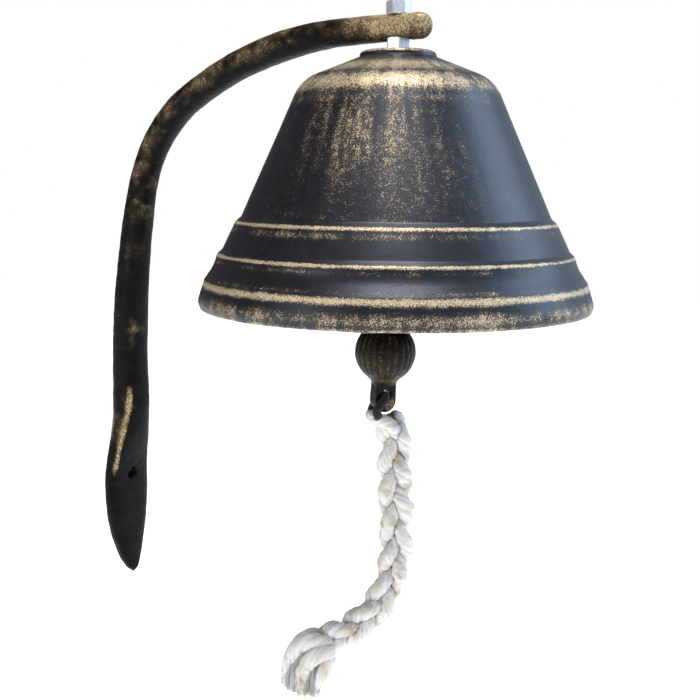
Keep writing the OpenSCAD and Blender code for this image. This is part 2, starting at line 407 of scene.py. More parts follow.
def rubbed_iron(name, black, brown, gold, pale_gold, grain_mm, gloss, cast_bump, blend, haze,
                shine, tint):
    """Black paint with gold rubbed over it where the rub attribute is high.

    blend is how softly the gold's specks run out into the paint, and haze is the smear of gold
    between them. shine and tint are the strength and the colour of the paint's gloss."""
    tree = Nodes(bpy.data.materials.new(name))
    grain = tree.noise(grain_mm, 3, 0.6)
    patches = tree.noise(grain_mm * 5, 3, 0.55)
    rub = tree.attribute("rub")
    speckle = tree.math("ADD", grain, tree.math("MULTIPLY_ADD", patches, 0.35, -0.175))
    reach = tree.math("MULTIPLY_ADD", rub, 0.62, -0.36)
    worn = tree.scaled(tree.math("ADD", speckle, reach), 0.47, 0.47 + blend)
    tone = tree.scaled(tree.noise(grain_mm * 9, 2), 0.38, 0.62)
    smear = tree.scaled(rub, 0.28, 1.0, 0.0, haze)
    paint = tree.mix(smear, tree.mix(tone, black, brown), gold)
    bright = tree.math("MULTIPLY", tree.scaled(grain, 0.36, 0.62),
                       tree.scaled(rub, 0.30, 0.85, 0.12, 1.0))
    fine_bump = tree.bump(grain, 0.16, 0.45)
    coarse_bump = tree.bump(tree.noise(1.9, 4, 0.6), 0.5, cast_bump, fine_bump)
    return tree.finish(SHADER, {
        "Base Color": tree.mix(worn, paint, tree.mix(bright, gold, pale_gold)),
        "Metallic": tree.math("MULTIPLY", worn, 0.55),
        "Roughness": tree.scaled(worn, 0, 1, gloss, 0.5),
        "Normal": tree.bump(worn, 0.05, 0.6, coarse_bump),
        "Specular IOR Level": shine,
        "Specular Tint": tint,
    })


def zinc_steel():
    tree = Nodes(bpy.data.materials.new("zinc_plated_steel"))
    cloud = tree.noise(1.2, 3, 0.6)
    scratch = tree.noise(0.35, 3, 0.6, stretch=(1, 1, 0.2))
    dull, bright = (0.74, 0.78, 0.82), (0.90, 0.93, 0.96)
    return tree.finish(SHADER, {
        "Base Color": tree.mix(tree.scaled(cloud, 0.35, 0.65), dull, bright),
        "Metallic": 0.75,
        "Roughness": tree.scaled(cloud, 0.35, 0.65, 0.42, 0.26),
        "Normal": tree.bump(scratch, 0.03, 0.35),
    })


def cotton_cord():
    """Off-white yarn: the lay attribute holds (round the strand, along it, depth of groove), and
    that depth paints shade into the grooves and creases.
    """
    tree = Nodes(bpy.data.materials.new("twisted_cotton"))
    clean, stained, shaded = (0.96, 0.95, 0.92), (0.66, 0.52, 0.39), (0.76, 0.69, 0.60)
    crease_shade, loop_dark = (0.34, 0.25, 0.18), (0.006, 0.006, 0.004)
    lay = tree.attribute("lay", "Vector")
    groove = tree.add("SeparateXYZ", "Z", {"Vector": lay})
    fibre = tree.noise(1000, 4, 0.65, (9, 0.9, 0), lay)
    colour = tree.mix(tree.scaled(tree.noise(7.0, 3, 0.55), 0.48, 0.68), clean, stained)
    colour = tree.mix(tree.scaled(fibre, 0.38, 0.58), shaded, colour)
    # Painted shade: darker and browner in the yarns' grooves and where strands press together.
    colour = tree.mix(tree.scaled(groove, 0.25, 1.0), colour, crease_shade)
    fluff = tree.noise(0.5, 4, 0.6)
    return tree.finish(SHADER, {
        "Base Color": tree.mix(tree.attribute("loop_dark"), colour, loop_dark),
        "Roughness": 0.9,
        "Normal": tree.bump(fluff, 0.7, 0.8, tree.bump(fibre, 0.5, 0.8)),
        "Sheen Weight": 0.15,
        "Sheen Roughness": 0.5,
        "Subsurface Weight": 0.4,
        "Subsurface Radius": (1.0, 0.95, 0.9),
        "Subsurface Scale": 0.003,
    })


BELL_PAINT = rubbed_iron(
    "bell_rubbed_black", black=(0.0045, 0.0050, 0.0070), brown=(0.010, 0.0065, 0.0055),
    gold=(0.27, 0.20, 0.12), pale_gold=(0.68, 0.55, 0.37), grain_mm=0.42, gloss=0.34,
    cast_bump=0.08, blend=0.15, haze=0.22, shine=0.50, tint=(0.70, 0.82, 1.0))
BRACKET_PAINT = rubbed_iron(
    "bracket_rubbed_black", black=(0.0022, 0.0022, 0.0022), brown=(0.0048, 0.0040, 0.0034),
    gold=(0.20, 0.14, 0.075), pale_gold=(0.51, 0.39, 0.23), grain_mm=0.75, gloss=0.42,
    cast_bump=0.6, blend=0.32, haze=0.78, shine=0.08, tint=(1.0, 1.0, 1.0))
CLAPPER_PAINT = rubbed_iron(
    "clapper_rubbed_black", black=(0.0040, 0.0038, 0.0030), brown=(0.010, 0.008, 0.004),
    gold=(0.075, 0.052, 0.020), pale_gold=(0.26, 0.20, 0.11), grain_mm=0.6, gloss=0.40,
    cast_bump=0.5, blend=0.2, haze=0.3, shine=0.18, tint=(1.0, 0.94, 0.82))
ZINC = zinc_steel()
COTTON = cotton_cord()


# ---- rope

PLAIT_CYCLE = 40.0
STRAND_R = 2.95
PLAIT_SWAY = 3.45
PLAIT_DEPTH = 2.1
PLAIT_UNEVEN = 0.24
YARNS = 3
YARN_TURN = 13.0
GROOVE_SHARE = 0.15
ROUTE_STEP = 0.4
LOOP_STRAND_R = 1.68
LOOP_LEAN = math.radians(20)
LOOP_HALF_W = 5.0
LOOP_HALF_H = 4.6
LOOP_POINTS, LOOP_AROUND = 150, 28

# The rope's route, the same points as in the CAD source, in metres
ROPE_ROUTE = [
    (-0.0023, -0.1500, 0.0472), (-0.0016, -0.1509, 0.0440), (-0.0010, -0.1516, 0.0398),
    (-0.0007, -0.1519, 0.0355), (-0.0006, -0.1519, 0.0310), (-0.0006, -0.1517, 0.0260),
    (-0.0005, -0.1518, 0.0205), (-0.0003, -0.1521, 0.0150), (-0.0002, -0.1523, 0.0095),
    (-0.0001, -0.1524, 0.0040), (0.0001, -0.1527, -0.0015), (0.0001, -0.1527, -0.0070),
    (-0.0005, -0.1519, -0.0125), (-0.0012, -0.1510, -0.0180), (-0.0022, -0.1496, -0.0232),
    (-0.0034, -0.1479, -0.0280), (-0.0053, -0.1452, -0.0324), (-0.0076, -0.1419, -0.0362),
    (-0.0102, -0.1384, -0.0394), (-0.0131, -0.1343, -0.0420), (-0.0161, -0.1301, -0.0442),
]
# The strand that turns from the loop over the plait's top, placed as local_point's numbers are
TOP_TURN = [(-7.6, 3.6, 47.6), (-7.3, 4.8, 46.6), (-5.4, 6.4, 46.0), (-2.6, 6.4, 45.0),
            (0.4, 5.4, 42.4), (2.2, 2.6, 38.6)]
TOP_TURN_R = 2.5


def local_point(right, near, up):
    """A place along the image, towards the camera and up, in mm about the bell's axis."""
    return AXIS + IMAGE_RIGHT * right + TO_CAMERA * near + UP * up


def yarn_strand(path, along, radius, fuzz, frames=None, turn=YARN_TURN, around=36, phase=0.0,
                closed=False):
    """Points, faces and lay of one twisted cord: yarns show as lobes that wind round it.

    radius is a number or one value for each point of the path."""
    side, facing = frames or path_frames(path, TO_CAMERA)[1:]
    radii = np.broadcast_to(radius, len(path))
    points, lay = [], []
    for i, centre in enumerate(path):
        for a in angles(around):
            wind = a - math.tau * along[i] / turn + phase
            lobe = abs(math.cos(YARNS / 2 * wind))
            groove = (1 - lobe) ** 2
            reach = radii[i] * (1 - GROOVE_SHARE * groove)
            out = math.cos(a) * side[i] + math.sin(a) * facing[i]
            spot = Vector((wind * 2.2, along[i] * 0.09, phase * 5))
            reach += fuzz * noise.noise(spot * 2.4)
            reach += fuzz * noise.noise(Vector(centre) / 1.7 + Vector(out) * 1.6)
            points.append(centre + reach * out)
            # The lay's third value is the depth that the material paints as shade in the grooves.
            lay.append((wind / math.tau, (along[i] / turn) * 0.35 + phase, 0.3 * groove))
    return points, ring_faces(len(path), around, closed), lay


def crease(parts, paths, reach):
    """Raises each part's lay depth where it lies close against another part's path, so the material
    paints shade there.
    """
    for number, (points, _, lay) in enumerate(parts):
        spots = [spot for other, path in enumerate(paths) if other != number for spot in path]
        near = kdtree.KDTree(len(spots))
        for index, spot in enumerate(spots):
            near.insert(spot, index)
        near.balance()
        for index, point in enumerate(points):
            deep = clamp((reach - near.find(point)[2]) / (0.4 * reach))
            lay[index] = (*lay[index][:2], max(lay[index][2], deep))


def make_cord(name, parts, *replaced):
    """One piece of the rope from several (points, faces, lay)."""
    points, faces, lay = [], [], []
    for some_points, some_faces, some_lay in parts:
        faces += [tuple(len(points) + v for v in face) for face in some_faces]
        points += some_points
        lay += some_lay
    made = make_object(name, points, faces)
    set_attribute(made, "lay", lay)
    return settle(made, "rope", "cotton_rope", COTTON, *replaced)


def make_plait():
    """Three twisted cords plaited along the route, as one mesh."""
    centre, along = smooth_path(np.array(ROPE_ROUTE) / MM, ROUTE_STEP)
    _, side, facing = path_frames(centre, TO_CAMERA)
    length = along[-1]
    parts, paths = [], []
    for strand in range(3):
        phase = math.tau * strand / 3
        turn = math.tau * along / PLAIT_CYCLE + phase + 0.6
        top = clamp(along / 7)
        low = clamp((length - along) / 5)
        spread = (0.35 + 0.65 * top) * (0.7 + 0.3 * low)
        uneven = 1 + PLAIT_UNEVEN * np.array(
            [noise.noise(Vector((s / 7, phase * 3, 1.3))) for s in along])
        swing = np.sin(turn)
        sway = PLAIT_SWAY * signed_power(swing, 0.85) * spread * uneven
        depth = PLAIT_DEPTH * np.sin(2 * turn) * spread
        path = centre + side * sway[:, None] + facing * depth[:, None]
        plump = 0.84 + 0.24 * np.abs(swing) ** 1.5
        radius = STRAND_R * np.sqrt(clamp((along + 0.4) / 2.6)) * uneven * plump
        parts.append(yarn_strand(path, along, radius, 0.36, phase=phase))
        paths.append(path)
    path, along_top = smooth_path([local_point(*spot) for spot in TOP_TURN], ROUTE_STEP)
    parts.append(yarn_strand(path, along_top, TOP_TURN_R, 0.26, phase=1.0))
    paths.append(path)
    crease(parts, paths, 1.2 * STRAND_R)
    return make_cord("pull_rope_plait", parts, "pull_rope"), length


def make_loop():
    """The first strand's ring through the lug's eye, near-black down to its lowest stretch."""
    lean = HANG_LEAN + LOOP_LEAN
    low = -UP * math.cos(lean) - SWING * math.sin(lean)
    path, depth = [], []
    for a in angles(LOOP_POINTS):
        drop = LOOP_HALF_H * (1 - signed_power(math.sin(a), 2 / 3))
        across = LOOP_HALF_W * signed_power(math.cos(a), 2 / 3)
        path.append(ROPE_PIN + PIN * across + low * drop)
        depth.append(drop / LOOP_HALF_H / 2)
    path, depth = np.array(path), np.array(depth)
    # The near side of the ring sags further over to the left than the far side
    near = np.clip((path - ROPE_PIN) @ PIN / LOOP_HALF_W, -0.2, 1)
    path -= SWING * (3.0 * near * np.sin(math.pi * depth))[:, None]
    along = distances(np.vstack([path, path[0]]))
    tangent = unit(np.roll(path, -1, axis=0) - np.roll(path, 1, axis=0))
    rim = unit(np.cross(tangent, np.cross(PIN, low)))
    out = np.cross(rim, tangent)
    radius = LOOP_STRAND_R + 0.75 * clamp((depth - 0.82) / 0.18)
    part = yarn_strand(path, along, radius, 0.05, (out, rim), turn=along[-1] / 4,
                       around=LOOP_AROUND, closed=True)
    made = make_cord("rope_eye_loop", [part], "rope_loop")
    # Near-black from the top of the loop down, fading to the rope's own colour at its lowest
    # stretch.
    loop_dark = np.repeat(clamp((0.96 - depth) / 0.16), LOOP_AROUND)
    set_attribute(made, "loop_dark", loop_dark)
    return made


# The plait's cords fold over the top of the knot and run down into the tassel
KNOT_CORDS = [
    ([(-22.5, 3.0, -42.8), (-26.5, 4.0, -42.6), (-31.0, 4.8, -42.4), (-35.2, 4.6, -44.8),
      (-38.0, 3.8, -49.2), (-38.9, 3.0, -54.0), (-38.7, 2.4, -62.0)], 3.2),
    ([(-22.0, 0.0, -44.0), (-26.0, -1.0, -43.4), (-31.0, -1.6, -43.2), (-35.0, -1.2, -46.2),
      (-37.2, -0.4, -50.6), (-37.6, 0.0, -55.5), (-37.2, 0.5, -62.5)], 3.4),
    ([(-21.6, 5.0, -45.8), (-25.6, 6.4, -46.2), (-29.6, 7.0, -48.2), (-32.6, 6.4, -51.6),
      (-34.0, 5.6, -56.0), (-34.4, 5.0, -63.0)], 3.2),
    ([(-22.4, -1.6, -46.8), (-26.2, -2.6, -47.6), (-29.8, -2.6, -50.4), (-31.6, -2.0, -54.4),
      (-32.0, -1.0, -59.0)], 3.2),
    ([(-22.4, 4.0, -48.4), (-24.2, 4.6, -51.8), (-26.2, 4.6, -55.4), (-28.4, 4.0, -59.4),
      (-29.8, 3.4, -62.6)], 2.7),
    ([(-24.0, 2.0, -46.6), (-29.0, 2.0, -47.4), (-33.0, 2.0, -49.6), (-34.8, 2.0, -54.0),
      (-35.0, 2.0, -59.0)], 5.0),
]
KNOT_YARN_TURN = 26
TASSEL_TOP = (-33.2, 1.8, -46.5)
TASSEL_FOOT = (-34.4, 1.8, -65.4)
TASSEL_W = 7.4
TASSEL_CUT = 0.31
TASSEL_YARNS = 240
TASSEL_FIBRES = 320
STRAY_FIBRES = 150


def make_knot():
    parts, paths = [], []
    for number, (spots, radius) in enumerate(KNOT_CORDS):
        path, along = smooth_path([local_point(*spot) for spot in spots], 0.45)
        ends = clamp(np.minimum(along, along[-1] - along) / 3.5)
        radii = radius * (0.72 + 0.28 * np.sqrt(ends))
        parts.append(yarn_strand(path, along, radii, 0.25, turn=KNOT_YARN_TURN, around=34,
                                 phase=1.9 * number))
        paths.append(path)
    crease(parts, paths[:-1], 3.1)
    return make_cord("rope_knot_cords", parts, "rope_knot")


def fibre_part(path, radius, around, end_dark=0.0):
    """One thin fibre, a little thinner at its end; the last argument darkens its last stretch."""
    path = np.array(path)
    along = distances(path)
    _, side, facing = path_frames(path, TO_CAMERA + 0.01 * UP)
    points, lay = [], []
    for i, centre in enumerate(path):
        thin = radius * (1 if i < len(path) - 1 else 0.7)
        points += ring(centre, thin, side[i], facing[i], around)
        lay += [(a / math.tau, along[i] / 20, end_dark * (i >= len(path) - 2))
                for a in angles(around)]
    return points, ring_faces(len(path), around), lay


def make_tassel():
    """Cut and frayed yarns below the knot: thick ones, then fine loose fibres over them."""
    uniform = random.Random(11).uniform
    parts = []
    for number in range(TASSEL_YARNS + TASSEL_FIBRES):
        loose = number >= TASSEL_YARNS
        a = uniform(0, math.tau)
        out = uniform(0.85, 1.06) if loose else math.sqrt(uniform(0.0, 1.0))
        right, near = out * math.cos(a), out * math.sin(a)
        foot_right = TASSEL_FOOT[0] + TASSEL_W * right * 1.02
        foot_up = TASSEL_FOOT[2] + 2.2 - TASSEL_CUT * (foot_right - TASSEL_FOOT[0])
        foot_up += uniform(-0.6, 6.0) if loose else uniform(-0.8, 1.0)
        foot_up = max(foot_up, TASSEL_FOOT[2] - 2.0)
        sway_a, sway_b = uniform(-1, 1), uniform(-1, 1)
        path = []
        for k in range(9):
            t = k / 8
            swell = 0.55 + 0.45 * math.sin(math.pi * (0.12 + 0.5 * t))
            path.append(local_point(
                TASSEL_TOP[0] + (TASSEL_FOOT[0] - TASSEL_TOP[0]) * t
                + TASSEL_W * right * swell + 0.5 * sway_a * math.sin(4 * t + sway_b * 3),
                TASSEL_TOP[1] + TASSEL_W * 0.86 * near * swell
                + 0.5 * sway_b * math.sin(4.5 * t + sway_a * 3),
                TASSEL_TOP[2] + (foot_up - TASSEL_TOP[2]) * t))
        radius = uniform(0.10, 0.17) if loose else uniform(0.42, 0.62)
        parts.append(fibre_part(path, radius, 4 if loose else 6, uniform(0.0, 0.35)))
    return make_cord("rope_tassel_yarns", parts, "rope_tassel")


def make_fluff():
    """Short stray fibres that stand off the plait and the knot."""
    draw = random.Random(5)
    centre, _ = smooth_path(np.array(ROPE_ROUTE) / MM, 1.0)
    tangent, side, facing = path_frames(centre, TO_CAMERA)
    parts = []
    for _ in range(STRAY_FIBRES):
        i = draw.randrange(2, len(centre) - 1)
        a = draw.uniform(0, math.tau)
        out = math.cos(a) * side[i] + math.sin(a) * facing[i]
        run = tangent[i] * draw.uniform(-1, 1) + np.cross(tangent[i], out) * draw.uniform(-1, 1)
        start = centre[i] + out * (3.9 if abs(math.sin(a)) > 0.7 else 4.6)
        length = draw.uniform(1.5, 4.0)
        lift = draw.uniform(0.1, 0.45)
        path = [start + run * length * t + out * lift * length * math.sin(2.2 * t)
                for t in (0, 0.2, 0.4, 0.6, 0.8, 1.0)]
        parts.append(fibre_part(path, draw.uniform(0.04, 0.07), 3))
    return make_cord("rope_stray_fibres", parts)


plait, plait_length = make_plait()
loop = make_loop()
knot = make_knot()
tassel = make_tassel()
fluff = make_fluff()


# ---- bell

BELL_STEPS = 300
CROWN_HOLE_R = 2.75
BOSS_R = 13.9
WALL_T = 3.6


def bell_outline():
    """(radius, height above the rim, corner radius), from the crown's hole out, down and back."""
    outside = [
        (CROWN_HOLE_R, BELL_H - 0.3, 0), (CROWN_HOLE_R + 0.4, BELL_H, 0.2),
        (BOSS_R, BELL_H, 1.7), (BOSS_R, BELL_H - 2.1, 0.5),
        (RIM_R - 37.4, BELL_H - 10.5, 14), (RIM_R - 15.8, 33.2, 1.4),
        (RIM_R - 13.7, 31.4, 0.8), (RIM_R - 8.9, 21.4, 1.4), (RIM_R - 7.1, 19.8, 0.8),
        (RIM_R - 5.8, 15.6, 14), (RIM_R - 2.3, 10.6, 1.5), (RIM_R + 0.3, 2.6, 3.5),
        (RIM_R - 0.7, 0, 0.6), (RIM_R - 4.5, 0, 0.8), (RIM_R - 6.1, 7, 3),
    ]
    inside = [
        (RIM_R - 7.2, 8.5, 3), (RIM_R - 8.8 - WALL_T - 0.4, 19.3, 3),
        (RIM_R - 15.7 - WALL_T * 1.1, 33, 3), (RIM_R - 39.9, BELL_H - 13.8, 9),
        (14.1, BELL_H - 6.6, 3), (CROWN_HOLE_R + 0.4, BELL_H - 6.6, 0.2),
        (CROWN_HOLE_R, BELL_H - 6.3, 0), (CROWN_HOLE_R, BELL_H - 0.3, 0),
    ]
    return outside, inside


# Where the gold was rubbed on: (height above the rim, half width, strength)
RUBBED_BANDS = [
    (0.4, 0.8, 0.62), (3.4, 3.8, 0.56), (9.3, 1.5, 0.97), (12.0, 1.0, 0.42),
    (19.6, 0.75, 0.90), (17.6, 1.5, 0.38), (31.1, 0.85, 0.95), (28.8, 2.2, 0.44),
]
# Gold bands round the crown and shoulder, as (drop below the top, half width, strength), strong
# enough to stand for the sheen from above as well: partly a painted highlight.
CROWN_BANDS = [(18.0, 4.5, 0.52), (12.6, 5.0, 0.82), (6.8, 4.0, 0.74), (0.5, 0.8, 0.70)]


def bell_angle(points):
    """The angle of each point about the bell's axis, 0 towards the camera."""
    flat = points[:, :2] - AXIS[:2]
    return np.arctan2(flat @ IMAGE_RIGHT[:2], flat @ TO_CAMERA[:2])


def bell_rub(points):
    """How strongly each point of the bell is rubbed with gold, 0 to 1; the rubbing also carries
    some painted shade and highlight.
    """
    height = points[:, 2] - RIM_Z
    flat = points[:, :2] - AXIS[:2]
    radius = np.linalg.norm(flat, axis=1)
    around = np.column_stack([flat / np.maximum(radius, 1)[:, None] * 50, height * 0.12])
    streak = wobble(around, 3.6, 2.0) + 0.6 * wobble(around, 1.5, 7.0)
    cloud = wobble(points, 20, 5.0)
    # More gold on the middle of the side towards the camera and of the back, less at the sides seen
    # from the camera: partly how the gold lies, partly painted shade that darkens those sides
    at = bell_angle(points)
    front = hump(at + 0.16, 0.80) + hump(np.abs(at) - 3.0, 0.80)
    on_wall = clamp((height - 32.4) / 0.8)
    climb = clamp((height - 36) / 34)
    wall = (0.20 + (0.21 + 0.07 * climb) * front + 0.13 * cloud
            + 0.22 * streak * (0.35 + 0.65 * climb) * (0.45 + 0.55 * front))
    boss = clamp((15.5 - radius) / 1.5)
    wall = wall * (1 - boss) + 0.22 * boss
    skirt = 0.16 + 0.10 * streak + 0.12 * cloud
    rub = on_wall * wall + (1 - on_wall) * skirt
    for middle, width, strength in RUBBED_BANDS:
        part = strength + 0.20 * streak + 0.10 * cloud + 0.04 * front
        rub = np.maximum(rub, part * hump(height - middle, width))
    for drop, width, strength in CROWN_BANDS:
        part = strength * (0.86 + 0.20 * front) + 0.12 * streak + 0.14 * cloud
        rub = np.maximum(rub, part * hump(BELL_H - height - drop, width))
    outside, _ = bell_outline()
    radii, heights, _ = np.array(outside[-3:2:-1]).T
    outer = np.interp(height, heights, radii)
    inner_side = (radius < outer - np.where(height > BELL_H - 16, 3.4, 1.9)) & (height < BELL_H - 2)
    return clamp(np.where(inner_side, 0.05, rub))


def make_bell():
    outside, inside = bell_outline()
    outline = fine(rounded(outside + inside, 6), 1.25)[:-1]
    made = lathe("bell_casting", outline, AXIS + UP * RIM_Z, BELL_STEPS, closed=True)
    points = coordinates(made)
    rub = bell_rub(points)
    height = points[:, 2] - RIM_Z
    push = 0.10 * wobble(points, 16, 1.0) + 0.035 * wobble(points, 3.0, 4.0)
    # A casting flash on the rim, towards the camera and a little left
    flash = hump(bell_angle(points) + 0.17, 0.05) * hump(height, 0.6)
    points += normals(made) * (np.where(height > BELL_H - 0.5, 0, push))[:, None]
    points[:, 2] -= 0.25 * flash
    set_coordinates(made, points)
    set_attribute(made, "rub", rub)
    return settle(made, "fixture", "bell_iron", BELL_PAINT, "bell")


make_bell()


# ---- wall bracket

STEM_TOP_Z = 45.0
STEM_R = 7.6
STATION_STEP = 0.9
STEM_SINK = 0.2
TIP_R = 4.6
TIP_OVERHANG = 13.5
BENDS = [(350.0, 13.7), (62.0, 48.3), (174.0, 28.0)]
TAPER = [(0, 1), (31, 0.96), (53, 0.89), (82, 0.79), (94, 0.75), (190, 0.735), (216, 0.66)]
LEAF_WIDE_Z, LEAF_TOP_Z, LEAF_DROP = -5.0, 33.0, 47.6
LEAF_W, LEAF_T, LEAF_SINK, LEAF_LIFT, LEAF_BOW, LEAF_TIP_W = 23.6, 7.0, 1.3, 4.4, 0.8, 2.8
SCREW_R = 3.0
SEAT_R = 5.5
BRACKET_SIDES = 72


def bent(y, z, lean, radius, turn):
    """(y, z, lean) after a bend of that radius through that turn."""
    after = lean + turn
    return (y - radius * (math.cos(lean) - math.cos(after)),
            z + radius * (math.sin(after) - math.sin(lean)), after)


def bend_starts():
    """(y, z, lean, distance along) where each bend starts, and where the last one ends."""
    place, along = (STEM_SINK - STEM_R, STEM_TOP_Z, 0.0), 0.0
    starts = [(*place, along)]
    for radius, turn in BENDS:
        place = bent(*place, radius, math.radians(turn))
        along += radius * math.radians(turn)
        starts.append((*place, along))
    return starts


STARTS = bend_starts()
ARM_Y, ARM_Z, _, BENT_LEN = STARTS[-1]
BAR_LEN = BENT_LEN + REACH + ARM_Y


def bar_r(along):
    spots = [a for a, _ in TAPER] + [BAR_LEN]
    values = [STEM_R * part for _, part in TAPER] + [TIP_R]
    return float(np.interp(along, spots, values))


def ease(t):
    return (1 - math.cos(math.pi * clamp(t))) / 2


def leaf_station(z, trim=1.0):
    """(y, z, lean, half width, half thickness, squareness) of the leaf at that height."""
    up = ease((z - LEAF_WIDE_Z) / (LEAF_TOP_Z - LEAF_WIDE_Z))
    down = clamp((LEAF_WIDE_Z - z) / (LEAF_DROP + LEAF_WIDE_Z))
    half_w = max(LEAF_TIP_W / 2, LEAF_W / 2 * math.cos(math.pi / 2 * down) ** 0.6)
    half_w += (STEM_R - LEAF_W / 2) * up
    back = LEAF_SINK + (STEM_SINK - LEAF_SINK) * up - (LEAF_SINK + LEAF_LIFT) * down ** 4
    front = -LEAF_T - LEAF_BOW * down ** 2 + (STEM_SINK - 2 * STEM_R + LEAF_T) * up
    return ((back + front) / 2, z, 0.0, half_w * trim, (back - front) / 2 * trim, 2.8 - 0.5 * up)


def bracket_stations():
    """The same six numbers for each cross section, from the leaf's foot to the arm's tip."""
    low = 2.2 - LEAF_DROP
    made = [leaf_station(-LEAF_DROP + drop, trim)
            for drop, trim in ((0, 0.12), (0.12, 0.3), (0.35, 0.5), (0.8, 0.72), (1.4, 0.88))]
    made += [leaf_station(low + (LEAF_TOP_Z - low) * k / 90) for k in range(91)]
    made += [(STEM_SINK - STEM_R, z, 0.0, STEM_R, STEM_R, 2.3)
             for z in np.arange(LEAF_TOP_Z + STATION_STEP, STEM_TOP_Z - 0.4, STATION_STEP)]
    for (radius, degrees), (*start, along) in zip(BENDS, STARTS):
        turn = math.radians(degrees)
        steps = math.ceil(radius * turn / STATION_STEP)
        for k in range(steps):
            size = bar_r(along + radius * turn * k / steps)
            made.append((*bent(*start, radius, turn * k / steps), size, size, 2.3))
    straight = REACH + ARM_Y
    made += [(ARM_Y - s, ARM_Z, math.pi / 2, bar_r(BENT_LEN + s), bar_r(BENT_LEN + s),
              2.3 + 0.4 * s / straight) for s in np.arange(0, straight, STATION_STEP)]
    run = TIP_OVERHANG - TIP_R
    made += [(-REACH - s, ARM_Z, math.pi / 2, TIP_R, TIP_R, 2.7)
             for s in np.arange(0, run, STATION_STEP)]
    for degrees in range(0, 86, 5):
        a = math.radians(degrees)
        size = TIP_R * math.cos(a)
        made.append((-REACH - run - TIP_R * math.sin(a), ARM_Z, math.pi / 2, size, size,
                     2.7 - 0.6 * degrees / 85))
    return made


def bore_cutter(radius, flare, length, centre, axis):
    """A cylinder that widens at both ends, to leave a hole with broken edges."""
    half = length / 2
    outline = [(0.001, -half - 4), (radius + flare + 4, -half - 4), (radius + flare, -half),
               (radius, -half + flare), (radius, half - flare), (radius + flare, half),
               (radius + flare + 4, half + 4), (0.001, half + 4)]
    return lathe("cutter", outline, centre, 48, axis)


# Gold on the bracket: (x, y, z, reach, strength), about the rubbed patches
BRACKET_PATCHES = [
    (2.5, -162, 188, 7.5, 1.0), (3, -154, 189.5, 7, 0.95), (3.5, -146, 189, 7.5, 0.92),
    (4, -137, 188.5, 7, 0.80), (4, -128, 188.5, 6, 0.60), (4, -112, 189, 11, 0.44),
    (4, -92, 186, 12, 0.50), (5, -70, 181, 13, 0.56), (5, -50, 171, 13, 0.56),
    (6, -33, 156, 12, 0.58), (6, -23, 140, 11, 0.54), (6, -17, 124, 9, 0.44),
    (6, -14, 104, 11, 0.34), (6, -10, 72, 14, 0.32),
]


def raised_edge(points, start, width):
    """1 along the edge that runs from the middle of the stem to the leaf's side, else 0."""
    z = points[:, 2]
    line = start + 4.5 * np.clip((38 - z) / 38, 0, 1.2)
    fade = clamp((z + 4) / 7) * clamp((46 - z) / 9)
    return hump(np.abs(points[:, 0]) - line, width) * fade * (points[:, 1] < -2)


def bracket_rub(points, away):
    share, total = np.zeros(len(points)), np.zeros(len(points))
    for x, y, z, reach, strength in BRACKET_PATCHES:
        for side in (1, -1):
            gap = np.linalg.norm(points - np.array([side * x, y, z]), axis=1)
            near = hump(gap, reach)
            share += near * strength
            total += near
    rub = np.maximum(0.20, share / np.maximum(total, 1e-6) * (1 - np.exp(-2.2 * total)))
    # Gold along the raised edge down the stem and leaf, laid where a highlight runs: partly rubbed
    # gold, partly a painted highlight.
    rub = np.maximum(rub, 0.92 * raised_edge(points, 5.7, 1.1))
    rub += 0.22 * wobble(points, 8, 3.0) + 0.18 * wobble(points, 3.0, 6.0)
    # Less gold where the surface faces down: painted shade on the undersides.
    return clamp(rub - 0.40 * clamp(-away[:, 2]))


def make_bracket():
    points = []
    stations = bracket_stations()
    for y, z, lean, half_w, half_t, square in stations:
        for a in angles(BRACKET_SIDES):
            u = half_w * signed_power(math.cos(a), 2 / square)
            v = half_t * signed_power(math.sin(a), 2 / square)
            points.append((u, y - v * math.cos(lean), z - v * math.sin(lean)))
    made = make_object("wall_bracket_casting", points, ring_faces(len(stations), BRACKET_SIDES))
    roughen(made, [(14, 0.16), (5, 0.13), (2.1, 0.09)])
    points = coordinates(made)
    away = normals(made)
    points += away * (0.22 * raised_edge(points, 5.1, 1.6))[:, None]
    # Flat on the wall, and a few pits in the leaf as the sand left them
    for x, pit_z, size in ((-2.6, 7.0, 1.1), (3.4, 5.0, 0.7), (0.8, -22.5, 0.9), (5.2, -31, 0.8)):
        gap = np.hypot(points[:, 0] - x, points[:, 2] - pit_z)
        points -= away * (0.35 * hump(gap, size) * (points[:, 1] < -3))[:, None]
    points[:, 1] = np.minimum(points[:, 1], np.where(points[:, 2] < 60, 0.0, points[:, 1]))
    set_coordinates(made, points)
    cut(made, bore_cutter(SCREW_R, 0.5, LEAF_T + 1.2, np.array([0, -LEAF_T / 2 - 0.4, 0]),
                          np.array([0, 1.0, 0])))
    # The two nuts' seats and the bolt's hole, each as (outline, height)
    for outline, z in (
            ([(0.001, 0), (SEAT_R, 0), (SEAT_R + 0.2, 5), (0.001, 5)], TOP_SEAT_Z),
            ([(0.001, -5), (SEAT_R + 0.2, -5), (SEAT_R, 0), (0.001, 0)], UNDER_SEAT_Z),
            ([(0.001, -9), (CROWN_HOLE_R, -9), (CROWN_HOLE_R, 9), (0.001, 9)], ARM_Z)):
        cut(made, lathe("cutter", outline, AXIS + UP * z, 48))
    points = coordinates(made)
    rub = bracket_rub(points, normals(made))
    rub[np.hypot(points[:, 0], points[:, 2]) < SCREW_R + 0.3] = 0.35
    set_attribute(made, "rub", rub)
    return settle(made, "fixture", "bracket_iron", BRACKET_PAINT, "wall_bracket")


# ---- nuts, washer, bolt, link

